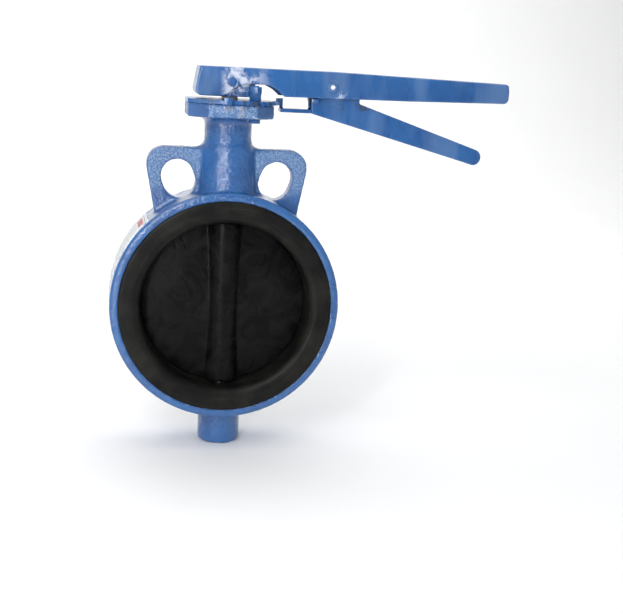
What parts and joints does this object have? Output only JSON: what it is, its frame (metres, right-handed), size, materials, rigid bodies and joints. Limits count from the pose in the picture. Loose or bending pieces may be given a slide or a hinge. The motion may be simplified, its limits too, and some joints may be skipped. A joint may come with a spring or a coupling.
{
  "type": "butterfly valve",
  "caption": "Wafer butterfly valve with rubber seat, pinned disc and latching hand lever, shown shut.",
  "frame": {"origin": "centre of the valve, where the pipe axis crosses the stem axis", "axes": "+Y along the pipe from the front face to the back face, +Z along the stem up to the hand lever, +X along the lever when the valve is shut"},
  "size_m": [0.369, 0.0884, 0.3538],
  "materials": {
    "cast_enamel": "glossy blue enamel over sand-cast iron",
    "pressed_enamel": "glossy blue enamel on pressed steel, worn at the pins",
    "seat_rubber": "moulded black rubber with a soft sheen",
    "seal_rubber": "smooth black rubber",
    "disc_coating": "satin black coating over cast iron",
    "stainless": "turned stainless steel",
    "zinc_steel": "bright zinc plated steel",
    "spring_steel": "dark oiled spring steel",
    "bronze": "machined bronze",
    "foil": "printed silver foil"
  },
  "bodies": {
    "valve_body": {"body": "cast_enamel", "seat_liner": "seat_rubber", "upper_bush": "bronze", "neck_bush": "bronze", "lower_bush": "bronze", "stem_o_rings": "seal_rubber", "thrust_washer": "bronze", "bottom_washer": "bronze", "notch_plate": "pressed_enamel", "plate_screws": "zinc_steel", "stop_bolt": "pressed_enamel", "stop_nuts": "pressed_enamel", "name_plate": "foil"},
    "lever_and_disc": {"stem": "stainless", "disc": "disc_coating", "disc_pins": "stainless", "stem_circlip": "spring_steel", "lever": "pressed_enamel", "lever_hub": "pressed_enamel", "cross_pin": "pressed_enamel", "trigger_pin": "zinc_steel", "trigger_spring": "spring_steel"},
    "trigger": {"trigger": "pressed_enamel"}
  },
  "joints": [
    {"name": "stem_turn", "type": "hinge", "parent": "valve_body", "child": "lever_and_disc", "pos_m": [0, 0, 0], "axis": [0, 0, -1], "range_deg": [0, 90]},
    {"name": "trigger_squeeze", "type": "hinge", "parent": "lever_and_disc", "child": "trigger", "pos_m": [0.092, 0, 0.203], "axis": [0, -1, 0], "range_deg": [0, 12], "stiffness_Nm_per_rad": 1, "springref_deg": -20.05}
  ]
}
